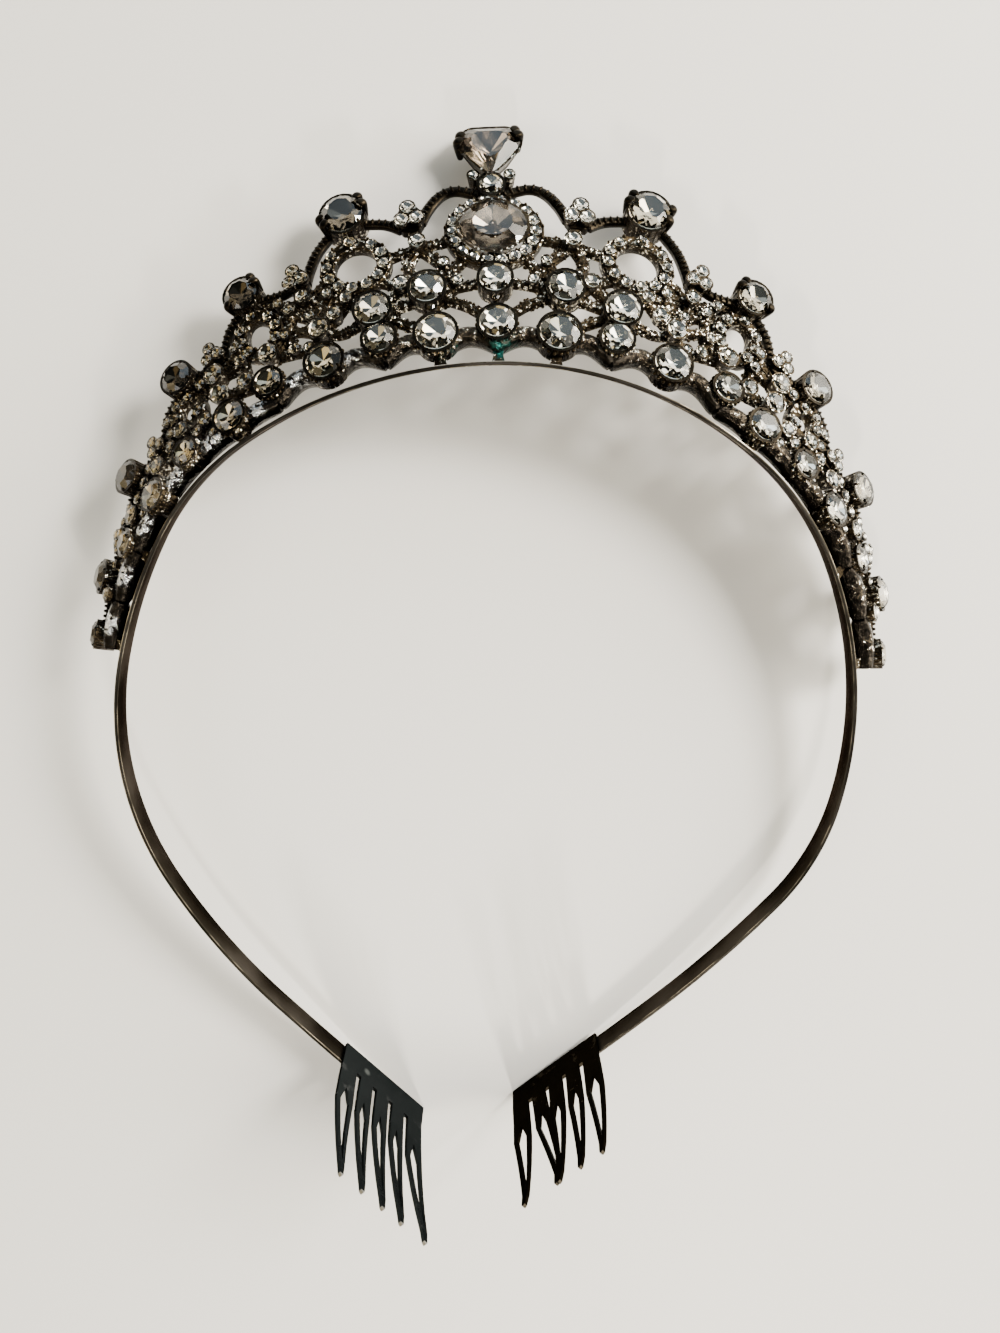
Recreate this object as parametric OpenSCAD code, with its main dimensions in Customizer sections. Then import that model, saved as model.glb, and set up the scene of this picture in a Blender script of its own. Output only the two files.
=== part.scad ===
// Rhinestone tiara lying face up: bent steel hoop, two side combs, one openwork casting, set stones.
// +Z is up off the table, +Y runs towards the finial, +X to the right. All sizes in mm.

/* [Hoop] */
// Width of the flat steel strip
strip_w = 4.8; // [4:0.1:6]
// Thickness of the strip
strip_t = 0.7; // [0.5:0.05:1]
// Tilt of the hoop's plane off the table: the ornament's tip and the strip's ends carry it
hoop_tilt = 6.4; // [5.4:0.1:7.4]
// Roll of the hoop's plane, as the left arm is the longer one
hoop_roll = 1.85; // [1.45:0.1:2.25]

/* [Combs] */
// Height of the plate that is spot-welded to the strip
plate_h = 6; // [5:0.5:7]
// Thickness of the comb's sheet
comb_t = 0.7; // [0.5:0.05:0.9]
// Length of the teeth above the plate
tooth_len = 30; // [24:1:34]
// Radius that the teeth are rolled to
tooth_roll = 150; // [120:10:300]

/* [Ornament] */
// Lean of the ornament behind the hoop's plane at the centre, in degrees
lean_back = 33; // [28:1:38]
// Clear gap between the casting's back edge and the strip
back_gap = 0.8; // [0.7:0.1:1.2]
// Wall of the cups around the stones
cup_wall = 0.55; // [0.45:0.05:0.7]
// Diameter of the rope arches
rope_d = 2; // [1.6:0.1:2.2]
// Width of the bands that carry the small stones
band_w = 2.2; // [2:0.1:2.4]

/* [Hidden] */

steel = [0.30, 0.29, 0.28];
black = [0.10, 0.10, 0.10];
pewter = [0.42, 0.41, 0.39];
crystal = [0.86, 0.90, 0.92];

seat = 0.05;    // gap that stands for a weld or a solder joint
play = 0.16;    // how much larger than its stone a seat is cut
half = strip_w / 2;

// The hoop starts behind the ornament's middle and runs down both sides in arcs.
start = [-2.7, 58.75];
start_turn = 2.9;
// Each row: length along the hoop, radius
arcs_right = [[49, 70.5], [24, 52], [48, 78], [24, 49], [34, 223], [37, 900]];
arcs_left = [[47, 84], [24, 49], [24, 97], [48, 64], [34, 136], [41, 900]];
arc_step = 3;   // degrees of bend to a flat of the strip

// Walks a list of arcs for a distance s; gives x, y and the heading, in the right-hand sense.
function walk(arcs, s, x, y, a, i = 0) =
  let (len = arcs[i][0], r = arcs[i][1], last = i == len(arcs) - 1,
       d = last ? s : min(s, len), b = a - d / r * 180 / PI,
       x2 = x + r * (sin(a) - sin(b)), y2 = y + r * (cos(b) - cos(a)))
  last || s <= len ? [x2, y2, b] : walk(arcs, s - len, x2, y2, b, i + 1);

// Point and heading at a signed distance: right of the middle is positive.
function hoop(s) = s >= 0 ? walk(arcs_right, s, start[0], start[1], start_turn)
  : let (p = walk(arcs_left, -s, -start[0], start[1], -start_turn)) [-p[0], p[1], -p[2]];
function out_dir(s) = let (a = hoop(s)[2]) [-sin(a), cos(a), 0];
function along_dir(s) = let (a = hoop(s)[2]) [cos(a), sin(a), 0];

// The ornament's surface: it leans back at the middle and turns upright towards its ends.
side_lean = 2;    // the whole casting sits turned a little to the left
back_d = 2;       // depth of the cups behind the surface
turn_share = 0.545;
function lean(s) = acos(cos(atan(turn_share * tan(min(abs(hoop(s)[2]), 89)))) * cos(lean_back));
function up0(s) = cos(lean(s)) * out_dir(s) - [0, 0, sin(lean(s))];
function up_dir(s) = cos(side_lean) * up0(s) - sin(side_lean) * along_dir(s);
function across(s) = cos(side_lean) * along_dir(s) + sin(side_lean) * up0(s);
function face_dir(s) = sin(lean(s)) * out_dir(s) + [0, 0, cos(lean(s))];
function surf(s, h, d) = [hoop(s)[0], hoop(s)[1], 0]
  + (back_gap + back_d * sin(lean(s))) * out_dir(s) + h * up_dir(s) + d * face_dir(s);

// Puts flat work on the surface: X along the hoop, Y up the ornament, Z out of its face.
module at(s, h, d = 0) {
  p = surf(s, h, d); x = across(s); y = up_dir(s); z = face_dir(s);
  multmatrix([[x[0], y[0], z[0], p[0]], [x[1], y[1], z[1], p[1]], [x[2], y[2], z[2], p[2]]])
    children();
}

// Lays the finished jewel on the table with the origin under its middle.
lying = [2.6, -0.18, 13.01];
module lie() {
  translate(lying) rotate([hoop_tilt, hoop_roll, 0]) children();
}

// Strip outline: flats between the stations of the arcs, outer face first, inner face back.
function stations(arcs, i = 0, from = 0) = i == len(arcs) ? [from]
  : let (n = max(1, ceil(arcs[i][0] / arcs[i][1] * 180 / PI / arc_step)))
    concat([for (k = [0:n - 1]) from + arcs[i][0] * k / n], stations(arcs, i + 1, from + arcs[i][0]));
function strip_points(inset) = let (l = stations(arcs_left), r = stations(arcs_right))
  concat([for (k = [len(l) - 1:-1:1]) let (p = hoop(-l[k]), n = out_dir(-l[k]))
            [p[0] - n[0] * inset, p[1] - n[1] * inset]],
         [for (s = r) let (p = hoop(s), n = out_dir(s)) [p[0] - n[0] * inset, p[1] - n[1] * inset]]);

module headband() {
  outer = strip_points(0);
  inner = strip_points(strip_t);
  color(steel) lie() translate([0, 0, -half]) linear_extrude(strip_w)
    polygon(concat(outer, [for (i = [len(inner) - 1:-1:0]) inner[i]]));
}

// Combs
comb_len = 23;
teeth = 5;
pitch = comb_len / teeth;
slot = 1.2;          // gap between two teeth at the plate
wire = 0.95;         // width of each leg of a tooth
slit_start = 6;      // height above the plate where a tooth splits into two legs
tip_w = 1.1;
right_from = 14;     // where each plate starts along the strip's last flat
left_from = 17.5;
// How far each tip is bent along the comb: the right one's fourth tooth leans onto the third
left_bend = [1.2, 1.6, 2.2, 2.4, 3.6];
right_bend = [-2.0, -1.9, -1.6, -5.6, -2.8];

// One tooth in the sheet's plane: two legs that meet at the tip.
module tooth(i, bend) {
  a = i * pitch + (i == 0 ? 0 : slot / 2);
  b = (i + 1) * pitch - (i == teeth - 1 ? 0 : slot / 2);
  m = (a + b) / 2 + bend;
  l = tooth_len;
  w = tip_w / 2;
  third = l * 0.33;
  a3 = a + bend * 0.22;
  b3 = b + bend * 0.22;
  difference() {
    polygon([[a, -1], [a, 0], [a3 - 0.15, third], [m - w - 0.1, l - 3], [m - w * 0.7, l - 0.4], [m, l],
      [m + w * 0.7, l - 0.4], [m + w + 0.1, l - 3], [b3 + 0.15, third], [b, 0], [b, -1]]);
    polygon([[(a + b) / 2 + bend * 0.1, slit_start], [a3 + wire - 0.1, third], [m - 0.08, l - 4.5],
      [m + 0.08, l - 4.5], [b3 - wire + 0.1, third]]);
  }
}

// The stamped sheet: flat plate, teeth rolled towards the head in short flats. Y is away from the strip.
roll_steps = 7;
function rolled(r) = [for (k = [0:roll_steps])
  let (a = asin((tooth_len + 1) / r) * k / roll_steps) [tooth_roll - r * cos(a), plate_h + r * sin(a)]];
module comb(bends) {
  outer = rolled(tooth_roll);
  inner = rolled(tooth_roll - comb_t);
  intersection() {
    translate([0, 12, 0]) rotate([90, 0, 0]) union() {
      cube([comb_len, plate_h, 24]);
      for (i = [0:teeth - 1]) translate([0, plate_h, 0]) linear_extrude(24) tooth(i, bends[i]);
    }
    translate([-10, 0, 0]) rotate([90, 0, 90]) linear_extrude(comb_len + 20)
      polygon(concat([[0, -1]], outer, [for (k = [roll_steps:-1:0]) inner[k]], [[comb_t, -1]]));
  }
}

// Sets a comb on the inner face of the strip's last flat: X runs down the arm, Y towards the head.
function reach(arcs, n, i = 0) = i == n ? 0 : arcs[i][0] + reach(arcs, n, i + 1);
module weld_comb(arcs, side, from) {
  n = len(arcs);
  a = hoop(side * reach(arcs, n - 1)); b = hoop(side * reach(arcs, n));
  t = [b[0] - a[0], b[1] - a[1], 0] / norm([b[0] - a[0], b[1] - a[1]]);
  inward = side * [t[1], -t[0], 0];
  o = [a[0], a[1], 0] + from * t + (strip_t + seat) * inward;
  multmatrix([[t[0], inward[0], 0, o[0]], [t[1], inward[1], 0, o[1]], [0, 0, 1, -half]]) children();
}

module comb_right() color(black) lie() weld_comb(arcs_right, 1, right_from) comb(right_bend);
module comb_left() color(black) lie() weld_comb(arcs_left, -1, left_from) comb(left_bend);

// Stones and their places
// Each row: distance along the hoop, height up the ornament, girdle radius
finial = [0, 38.8, 5.3];
finial_small = [0, 31.9, 2];
centre = [0, 23, 5];
centre_small = [0, 12.7, 2.7];
base_centre = [0, 4.3, 3];
peaks = [[20, 30.4, 3.75], [36.8, 23.2, 3.1], [50.8, 16.2, 2.95], [66.3, 11.6, 2.85], [83.4, 8.6, 2.85],
  [93, 4.6, 2.3]];
base_row = [[9.8, 3.1, 3.4], [18.9, 4.2, 2.7], [28.4, 3.1, 3.2], [38.2, 4, 2.5], [46.4, 1.9, 2.8],
  [55.8, 2, 2.35], [64.8, 1.5, 2.7], [74.8, 3, 2.2]];
mid_row = [[10.2, 11.9, 2.9], [18.9, 9.9, 3]];
// Smaller stones of the second row, set flat in shallow cups, and the ones under each peak
mid_small = [[27.6, 9.6, 1.8], [36.4, 9.2, 1.75], [45.6, 11.5, 1.75], [46.2, 7.2, 1.75], [54.4, 6.5, 1.4],
  [61, 5, 1.5], [70.2, 4.4, 1.6], [84.6, 2.6, 1.5]];
peak_small = [[20, 25.1, 1.05], [36.9, 18.7, 0.95], [51, 12, 0.85]];
// Girdle levels above the surface
low = 2;
mid = 2.4;
high = 2.8;

crown = 0.32;      // crown height, table radius and pavilion depth as shares of the girdle radius
table_r = 0.58;
pavilion = 0.6;

// A cut stone: table, crown facets and pavilion facets, girdle at zero.
module gem(r, sides = 8, stretch = [1, 1]) {
  scale([stretch[0], stretch[1], 1]) hull() {
    cylinder(r1 = r, r2 = r * table_r, h = r * crown, $fn = sides);
    translate([0, 0, -r * pavilion]) cylinder(r1 = 0, r2 = r, h = r * pavilion, $fn = sides);
  }
}

// Finial stone: broad at the top, drawn to a soft point below.
module pear(r) {
  module outline(k, z, h) {
    for (x = [-1, 1]) translate([x * r * 0.46 * k, r * 0.28 * k, z]) cylinder(r = r * 0.56 * k, h = h, $fn = 10);
    translate([0, -r * 0.8 * k, z]) cylinder(r = r * 0.14 * k, h = h, $fn = 6);
  }
  hull() {
    outline(1, 0, 0.02);
    outline(table_r, r * crown * 0.9, 0.02);
    translate([0, 0, -r * pavilion]) cylinder(r = 0.1, h = 0.02, $fn = 6);
  }
}

// Centre stone: a wide oval with a soft point at the top.
oval = [1.18, 0.97];
module onion(r) {
  module outline(k, z) {
    scale([oval[0], oval[1], 1]) translate([0, 0, z]) cylinder(r = r * k, h = 0.02, $fn = 12);
    translate([0, r * 1.06 * k, z]) cylinder(r = r * 0.12 * k, h = 0.02, $fn = 6);
  }
  hull() {
    outline(1, 0);
    outline(table_r, r * crown * 0.8);
    translate([0, 0, -r * pavilion * 0.8]) cylinder(r = 0.1, h = 0.02, $fn = 6);
  }
}

module set_gem(row, side, level) color(crystal) lie() at(side * row[0], row[1], level) gem(row[2]);

module finial_stone() color(crystal) lie() at(finial[0], finial[1], high) pear(finial[2]);
module finial_drop() set_gem(finial_small, 1, mid);
module centre_stone() color(crystal) lie() at(centre[0], centre[1], mid) onion(centre[2]);
module centre_drop() set_gem(centre_small, 1, mid);
module base_centre_stone() set_gem(base_centre, 1, low);
module peak_right_1() set_gem(peaks[0], 1, high);
module peak_right_2() set_gem(peaks[1], 1, high);
module peak_right_3() set_gem(peaks[2], 1, high);
module peak_right_4() set_gem(peaks[3], 1, high);
module peak_right_5() set_gem(peaks[4], 1, high);
module peak_right_6() set_gem(peaks[5], 1, high);
module peak_left_1() set_gem(peaks[0], -1, high);
module peak_left_2() set_gem(peaks[1], -1, high);
module peak_left_3() set_gem(peaks[2], -1, high);
module peak_left_4() set_gem(peaks[3], -1, high);
module peak_left_5() set_gem(peaks[4], -1, high);
module peak_left_6() set_gem(peaks[5], -1, high);
module base_right_1() set_gem(base_row[0], 1, low);
module base_right_2() set_gem(base_row[1], 1, low);
module base_right_3() set_gem(base_row[2], 1, low);
module base_right_4() set_gem(base_row[3], 1, low);
module base_right_5() set_gem(base_row[4], 1, low);
module base_right_6() set_gem(base_row[5], 1, low);
module base_right_7() set_gem(base_row[6], 1, low);
module base_right_8() set_gem(base_row[7], 1, low);
module base_left_1() set_gem(base_row[0], -1, low);
module base_left_2() set_gem(base_row[1], -1, low);
module base_left_3() set_gem(base_row[2], -1, low);
module base_left_4() set_gem(base_row[3], -1, low);
module base_left_5() set_gem(base_row[4], -1, low);
module base_left_6() set_gem(base_row[5], -1, low);
module base_left_7() set_gem(base_row[6], -1, low);
module base_left_8() set_gem(base_row[7], -1, low);
module mid_right_1() set_gem(mid_row[0], 1, mid);
module mid_right_2() set_gem(mid_row[1], 1, mid);
module mid_left_1() set_gem(mid_row[0], -1, mid);
module mid_left_2() set_gem(mid_row[1], -1, mid);

// Small stones have flat backs and lie a hair above their seats.
bed = 1.2;         // level of the seats' faces
lift = 0.12;
module chip(r) hull() cylinder(r1 = r, r2 = r * table_r, h = r * 0.6, $fn = 8);
module set_chip(s, h, r, level = bed) at(s, h, level + lift) chip(r);

// Oval rings of small stones. Each row: distance, height, half width, half height, stones
halo = [0, 23, 5.75, 6.2, 18];
loops = [[20, 20.2, 4.2, 4.6, 12], [36.9, 14.6, 3, 4.1, 10], [52.4, 9.6, 2.2, 2.9, 7]];
chip_r = 1;
function ring_at(row, side, t) = [side * row[0] + row[2] * sin(t), row[1] + row[3] * cos(t)];
// A ring leaves out the stones whose place a larger stone takes.
widen = 1.2;       // a step along the hoop is about this much longer out on the ornament
function room(p, side, rows) =
  min([for (q = rows) norm([(p[0] - side * q[0]) * widen, p[1] - q[1]]) - q[2]]) > chip_r + 0.15;
module ring_chips(row, side, r = chip_r) {
  for (k = [0:row[4] - 1]) {
    p = ring_at(row, side, (k + 0.5) * 360 / row[4]);
    if (room(p, side, concat(peak_small, mid_small))) set_chip(p[0], p[1], r);
  }
}

// Clusters of three small stones between the peaks. Each row: distance, height, spread, stone radius
trefoils = [[11.3, 27.4, 1.55, 1.25], [28.8, 21.7, 1.4, 1.1], [44.7, 15.9, 1.3, 1], [59.6, 9.4, 1.25, 0.95],
  [75.4, 7.4, 1.2, 0.9]];
// The two tiny stones beside the finial's drop: distance, height, radius
tiny = [2.3, 34.2, 0.85];
// The stone under each cluster
under = [[10.7, 21.7, 1.35], [28.6, 17.2, 1.2]];
cluster_up = 1.7;   // the clusters stand above the bands
module trefoil_chips(side) {
  for (t = trefoils, k = [0:2]) at(side * t[0], t[1], cluster_up + lift)
    rotate([0, 0, -k * 120]) translate([0, t[2], 0]) chip(t[3]);
  for (u = under) set_chip(side * u[0], u[1], u[2], cluster_up);
}

module halo_stones() color(crystal) lie() {
  ring_chips(halo, 1, 1.05);
  for (x = [-1, 1]) set_chip(x * tiny[0], tiny[1], tiny[2], cluster_up);
}
module pave(side) {
  for (row = loops) ring_chips(row, side);
  for (row = mid_small) set_chip(side * row[0], row[1], row[2], cluster_up);
  for (row = peak_small) set_chip(side * row[0], row[1], row[2]);
}
module pave_right() color(crystal) lie() pave(1);
module pave_left() color(crystal) lie() pave(-1);
module trefoils_right() color(crystal) lie() trefoil_chips(1);
module trefoils_left() color(crystal) lie() trefoil_chips(-1);

// Casting
// Sweeps a section along a path of places; u runs in the surface, v out of it.
module sweep(path, section, closed = false) {
  n = len(path); m = len(section);
  pts = [for (p = path) surf(p[0], p[1], p[2])];
  rings = [for (i = [0:n - 1])
    let (a = pts[closed ? (i + n - 1) % n : max(i - 1, 0)], b = pts[closed ? (i + 1) % n : min(i + 1, n - 1)],
         t = (b - a) / norm(b - a), f = face_dir(path[i][0]), u0 = cross(t, f), u = u0 / norm(u0),
         v = cross(u, t))
    for (q = section) pts[i] + q[0] * u + q[1] * v];
  spans = closed ? n : n - 1;
  walls = [for (i = [0:spans - 1], k = [0:m - 1])
    let (a = i * m + k, b = i * m + (k + 1) % m, c = ((i + 1) % n) * m + (k + 1) % m, d = ((i + 1) % n) * m + k)
    each [[a, b, c], [a, c, d]]];
  ends = closed ? [] : [[for (k = [m - 1:-1:0]) k], [for (k = [0:m - 1]) (n - 1) * m + k]];
  polyhedron(rings, concat(walls, ends), convexity = 6);
}
function ngon(r, n) = [for (k = [0:n - 1]) [r * cos(k * 360 / n), r * sin(k * 360 / n)]];
function box2(w, z0, z1) = [[-w / 2, z0], [w / 2, z0], [w / 2, z1], [-w / 2, z1]];
rope = ngon(rope_d / 2, 5);
bar = box2(1.25, -0.7, 0.7);
swag = box2(1.8, -1.7, 1.6);
ribbon = box2(band_w, -0.8, bed);

function flip(path, side) = side > 0 ? path : [for (p = path) [-p[0], p[1], p[2]]];
module ring(row, side, section) {
  n = row[4];
  sweep([for (k = [0:n - 1]) let (p = ring_at(row, side, -k * 360 / n)) [p[0], p[1], 0]], section, true);
}

// A cup without its seat: the seats are cut from the whole casting at the end.
floor_d = -1.2;
base_floor = -1.7;
module cup(row, side, level, taper = 0.62, bottom = floor_d, stretch = [1, 1], sides = 8) {
  r = row[2] + cup_wall;
  at(side * row[0], row[1], bottom) scale([stretch[0], stretch[1], 1])
    cylinder(r1 = r * taper, r2 = r, h = level - bottom, $fn = sides);
}
module seat_of(row, side, level) at(side * row[0], row[1], level) gem(row[2] + play);
base_taper = 0.85;
// Shallow cup that a flat-backed stone lies on
module saucer(s, h, r, level = cluster_up) {
  at(s, h, -0.8) cylinder(r1 = r * 0.8, r2 = r + 0.35, h = level + 0.8, $fn = 6);
}
// Claw: rises beside a stone at an angle and bends over its crown.
module claw(row, side, level, turn, reach = 1) {
  r = row[2] * reach;
  at(side * row[0], row[1], level) rotate([0, 0, turn]) hull() {
    translate([r - 0.2, -0.6, -2.4]) cube([0.7, 1.2, 0.1]);
    translate([r + 0.3, -0.6, 0.4]) cube([0.7, 1.2, 0.1]);
    translate([r - 0.6, -0.4, row[2] * crown + 0.2]) cube([0.6, 0.8, 0.4]);
  }
}

// Rope arches along the upper edge: shoulder to cluster, cluster to peak, peak to cluster
ropes = [
  [[1.6, 30.8, 0.6], [4.7, 32.2, 0.6], [6.9, 31.3, 0.6], [8.7, 28.8, 0.6], [9.9, 26.2, 0.6]],
  [[12.6, 25.6, 0.6], [14.6, 27.4, 0.6], [18, 28.8, 0.6]],
  [[22.6, 28.2, 0.6], [25, 25.6, 0.6], [26.6, 22.8, 0.6], [27.6, 20.6, 0.6]],
  [[29.8, 20.6, 0.6], [31.8, 20.4, 0.6], [35.2, 21.4, 0.6]],
  [[38.8, 20.8, 0.6], [40.8, 19, 0.6], [42.4, 16.6, 0.5], [43.5, 14.4, 0.3]],
  [[46, 14.2, 0.5], [47.4, 14.5, 0.6], [49.6, 14.9, 0.6]],
  [[52.6, 14.2, 0.6], [55.2, 13, 0.6], [57.2, 10.8, 0.5], [58.5, 8.5, 0.3]],
  [[60.5, 8.4, 0.3], [62.4, 9.2, 0.5], [65, 10.2, 0.6]],
  [[68.3, 9.8, 0.6], [71, 8.6, 0.6], [73.4, 7, 0.6], [74.8, 6.4, 0.6]],
  [[76.2, 6.6, 0.6], [78.6, 7, 0.6], [82, 7.8, 0.6]],
  [[85.4, 7.2, 0.6], [88, 6.2, 0.6], [90.4, 5, 0.6]]];

// Filigree bars between the rows, each a list of places
bars = [
  [[1.2, 6], [4.6, 8.8], [8.8, 11]],
  [[1.2, 13.4], [8.8, 12.2]],
  [[9.9, 5], [10.2, 10.4]],
  [[4.1, 18.6], [6.6, 15.6], [9.2, 13]],
  [[5.4, 22.4], [10.7, 21.7], [16.2, 20.4]],
  [[10.7, 21.7], [11.2, 26.8]],
  [[10.8, 13], [12.6, 17.8], [11, 21.2]],
  [[11.2, 12.6], [17.4, 16.6]],
  [[11.4, 11], [17.6, 9.8]],
  [[11.2, 4.4], [17.6, 9]],
  [[18.9, 12.2], [19.2, 15.8]],
  [[20, 9.6], [24.2, 8.2], [27.2, 9.4]],
  [[23.2, 17.8], [25.8, 14.6], [27.2, 10.4]],
  [[24, 20.2], [28.6, 17.2], [34.2, 15.4]],
  [[28.6, 17.2], [28.8, 21.4]],
  [[27.8, 9.6], [30.8, 12], [34.2, 12.8]],
  [[39.8, 5.4], [45.8, 7]],
  [[39.8, 14.2], [45.4, 12.2], [50.6, 10.4]],
  [[54.4, 9.4], [59.4, 9]],
  [[54.4, 6.5], [61, 5]],
  [[66.2, 3], [66.4, 9.6]],
  [[67, 3], [73.6, 3.8]],
  [[70.4, 4.6], [75.2, 7.2]],
  [[76.2, 3.8], [84.4, 2.8]],
  [[84.6, 2.6], [91.4, 3.8]]];

// Scalloped rail: an arch from each base cup to the next
base_s = concat([-0.5], [for (b = base_row) b[0]], [84.6, 94]);
arch_h = 3;
module scallops(side) {
  for (i = [0:len(base_s) - 2]) {
    a = base_s[i]; b = base_s[i + 1]; n = i < 4 ? 4 : 2; rise = i < 4 ? arch_h : 1;
    sweep(flip([for (k = [0:n]) [a + (b - a) * k / n, rise * sin(180 * k / n), -0.2]], side), swag);
  }
}

// Feet that the casting is soldered by: from under a cup to the strip
feet = [0, 9.8, -9.8, 46.4, -46.4, 74.8, -74.8, 92.6, -92.6];
module foot(s) {
  n = out_dir(s); p = hoop(s);
  hull() {
    multmatrix([[n[1], n[0], 0, p[0] + n[0] * seat], [-n[0], n[1], 0, p[1] + n[1] * seat], [0, 0, 1, 0]])
      translate([-1.1, 0, -1.5]) cube([2.2, 0.5, 2.8]);
    at(s, 0.6, -0.6) cube([2.4, 1, 1.6], center = true);
  }
}

module half_casting(side) {
  for (i = [0:len(peaks) - 1]) {
    cup(peaks[i], side, high);
    if (i < 2) for (t = [140, -35]) claw(peaks[i], side, high, side > 0 ? t : 180 - t);
  }
  for (row = base_row) cup(row, side, low, base_taper, base_floor);
  for (row = mid_row) cup(row, side, mid);
  for (row = loops) ring(row, side, ribbon);
  for (row = mid_small) saucer(side * row[0], row[1], row[2]);
  for (u = under) saucer(side * u[0], u[1], u[2]);
  for (t = trefoils) at(side * t[0], t[1], -0.7) rotate([0, 0, 30])
    cylinder(r = t[2] + t[3] + 0.35, h = cluster_up + 0.7, $fn = 6);
  for (path = ropes) sweep(flip(path, side), rope);
  for (path = bars) sweep(flip([for (q = path) [q[0], q[1], 0]], side), bar);
  scallops(side);
}

module tiara_frame() color(pewter) lie() difference() {
  union() {
    half_casting(1);
    half_casting(-1);
    // centre unit
    at(finial[0], finial[1], floor_d) hull() {
      translate([0, 0, 0]) cylinder(r = 3, h = 0.1, $fn = 8);
      translate([0, 0, high - floor_d - 0.1]) pear_plate();
    }
    for (t = [38, 142]) claw([0, finial[1], finial[2]], 1, high, t, 0.98);
    cup(finial_small, 1, mid);
    for (x = [-1, 1]) saucer(x * tiny[0], tiny[1], tiny[2]);
    sweep([[-2.3, 33.6, 0], [2.3, 33.6, 0]], bar);
    cup(centre, 1, mid, stretch = oval, sides = 12);
    ring(halo, 1, ribbon);
    cup(centre_small, 1, mid);
    cup(base_centre, 1, low, base_taper, base_floor);
    sweep([[0, 5, 0], [0, 36, 0]], bar);
    sweep([[-5.9, 23, 0], [5.9, 23, 0]], bar);
    for (s = feet) foot(s);
  }
  at(finial[0], finial[1], high) pear(finial[2] + play);
  at(centre[0], centre[1], mid) onion(centre[2] + play);
  seat_of(finial_small, 1, mid);
  seat_of(centre_small, 1, mid);
  seat_of(base_centre, 1, low);
  for (side = [-1, 1]) {
    for (row = peaks) seat_of(row, side, high);
    for (row = base_row) seat_of(row, side, low);
    for (row = mid_row) seat_of(row, side, mid);
  }
}
module pear_plate() {
  r = finial[2];
  for (x = [-1, 1]) translate([x * r * 0.46, r * 0.28, 0]) cylinder(r = r * 0.56 + cup_wall, h = 0.1, $fn = 8);
  translate([0, -r * 0.8, 0]) cylinder(r = r * 0.14 + cup_wall, h = 0.1, $fn = 6);
}

headband();
comb_left();
comb_right();
tiara_frame();
finial_stone();
finial_drop();
centre_stone();
centre_drop();
base_centre_stone();
peak_right_1();
peak_right_2();
peak_right_3();
peak_right_4();
peak_right_5();
peak_right_6();
peak_left_1();
peak_left_2();
peak_left_3();
peak_left_4();
peak_left_5();
peak_left_6();
base_right_1();
base_right_2();
base_right_3();
base_right_4();
base_right_5();
base_right_6();
base_right_7();
base_right_8();
base_left_1();
base_left_2();
base_left_3();
base_left_4();
base_left_5();
base_left_6();
base_left_7();
base_left_8();
mid_right_1();
mid_right_2();
mid_left_1();
mid_left_2();
halo_stones();
pave_right();
pave_left();
trefoils_right();
trefoils_left();
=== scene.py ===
import itertools
import math
import random

import bmesh
import bpy
from mathutils import Matrix, Vector


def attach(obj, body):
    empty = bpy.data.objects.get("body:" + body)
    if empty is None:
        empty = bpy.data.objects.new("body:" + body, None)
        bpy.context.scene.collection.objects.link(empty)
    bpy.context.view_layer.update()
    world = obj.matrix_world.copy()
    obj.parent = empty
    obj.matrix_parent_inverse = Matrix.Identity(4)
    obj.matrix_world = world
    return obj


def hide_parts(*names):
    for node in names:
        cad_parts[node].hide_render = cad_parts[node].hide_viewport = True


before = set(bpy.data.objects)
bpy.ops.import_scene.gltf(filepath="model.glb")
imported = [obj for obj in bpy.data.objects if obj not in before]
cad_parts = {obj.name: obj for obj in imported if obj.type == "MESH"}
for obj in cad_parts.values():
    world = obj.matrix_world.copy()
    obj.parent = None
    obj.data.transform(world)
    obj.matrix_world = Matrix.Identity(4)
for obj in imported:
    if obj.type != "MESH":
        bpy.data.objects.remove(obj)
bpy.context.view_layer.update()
bpy.ops.object.select_all(action="DESELECT")

# Headband: one flat strip of spring steel, blackened with age and bent into an open hoop by hand.
# The corners of its narrow edges are rubbed bright in patches: partly wear, partly a painted
# highlight line along the edge. Lengths are millimetres in the hoop's own plane until LYING lays
# a piece down on the table, in metres.
STRIP_WIDE, STRIP_THICK, STRIP_CORNER = 4.8, 0.7, 0.14
HOOP_START = (-2.7, 58.75, math.radians(2.9))   # middle of the strip's outer face, and its heading
# Length and radius of each bend, to the right of the middle (1) and to the left (-1)
ARCS = {1: ((49, 70.5), (24, 52), (48, 78), (24, 49), (34, 223), (37, 900)),
        -1: ((47, 84), (24, 49), (24, 97), (48, 64), (34, 136), (41, 900))}
LYING = (Matrix.Scale(0.001, 4) @ Matrix.Translation((2.6, -0.18, 13.01))
         @ Matrix.Rotation(math.radians(1.85), 4, "Y") @ Matrix.Rotation(math.radians(6.4), 4, "X"))


def only(*objects):
    """Selects these objects alone; the first one is active."""
    bpy.ops.object.select_all(action="DESELECT")
    for obj in objects:
        obj.select_set(True)
    bpy.context.view_layer.objects.active = objects[0]
    return objects[0]


def edit(obj=None):
    """Enters edit mode to pick faces, on a piece or else on the one just added."""
    only(obj or bpy.context.view_layer.objects.active)
    bpy.ops.object.mode_set(mode="EDIT")
    bpy.ops.mesh.select_mode(type="FACE")


def pick(test):
    """In edit mode, selects the faces whose middle and normal pass a test."""
    mesh = bpy.context.edit_object.data
    bm = bmesh.from_edit_mesh(mesh)
    bpy.ops.mesh.select_all(action="DESELECT")
    for face in bm.faces:
        face.select = bool(test(face.calc_center_median(), face.normal))
    bm.select_flush_mode()
    bmesh.update_edit_mesh(mesh)


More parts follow.
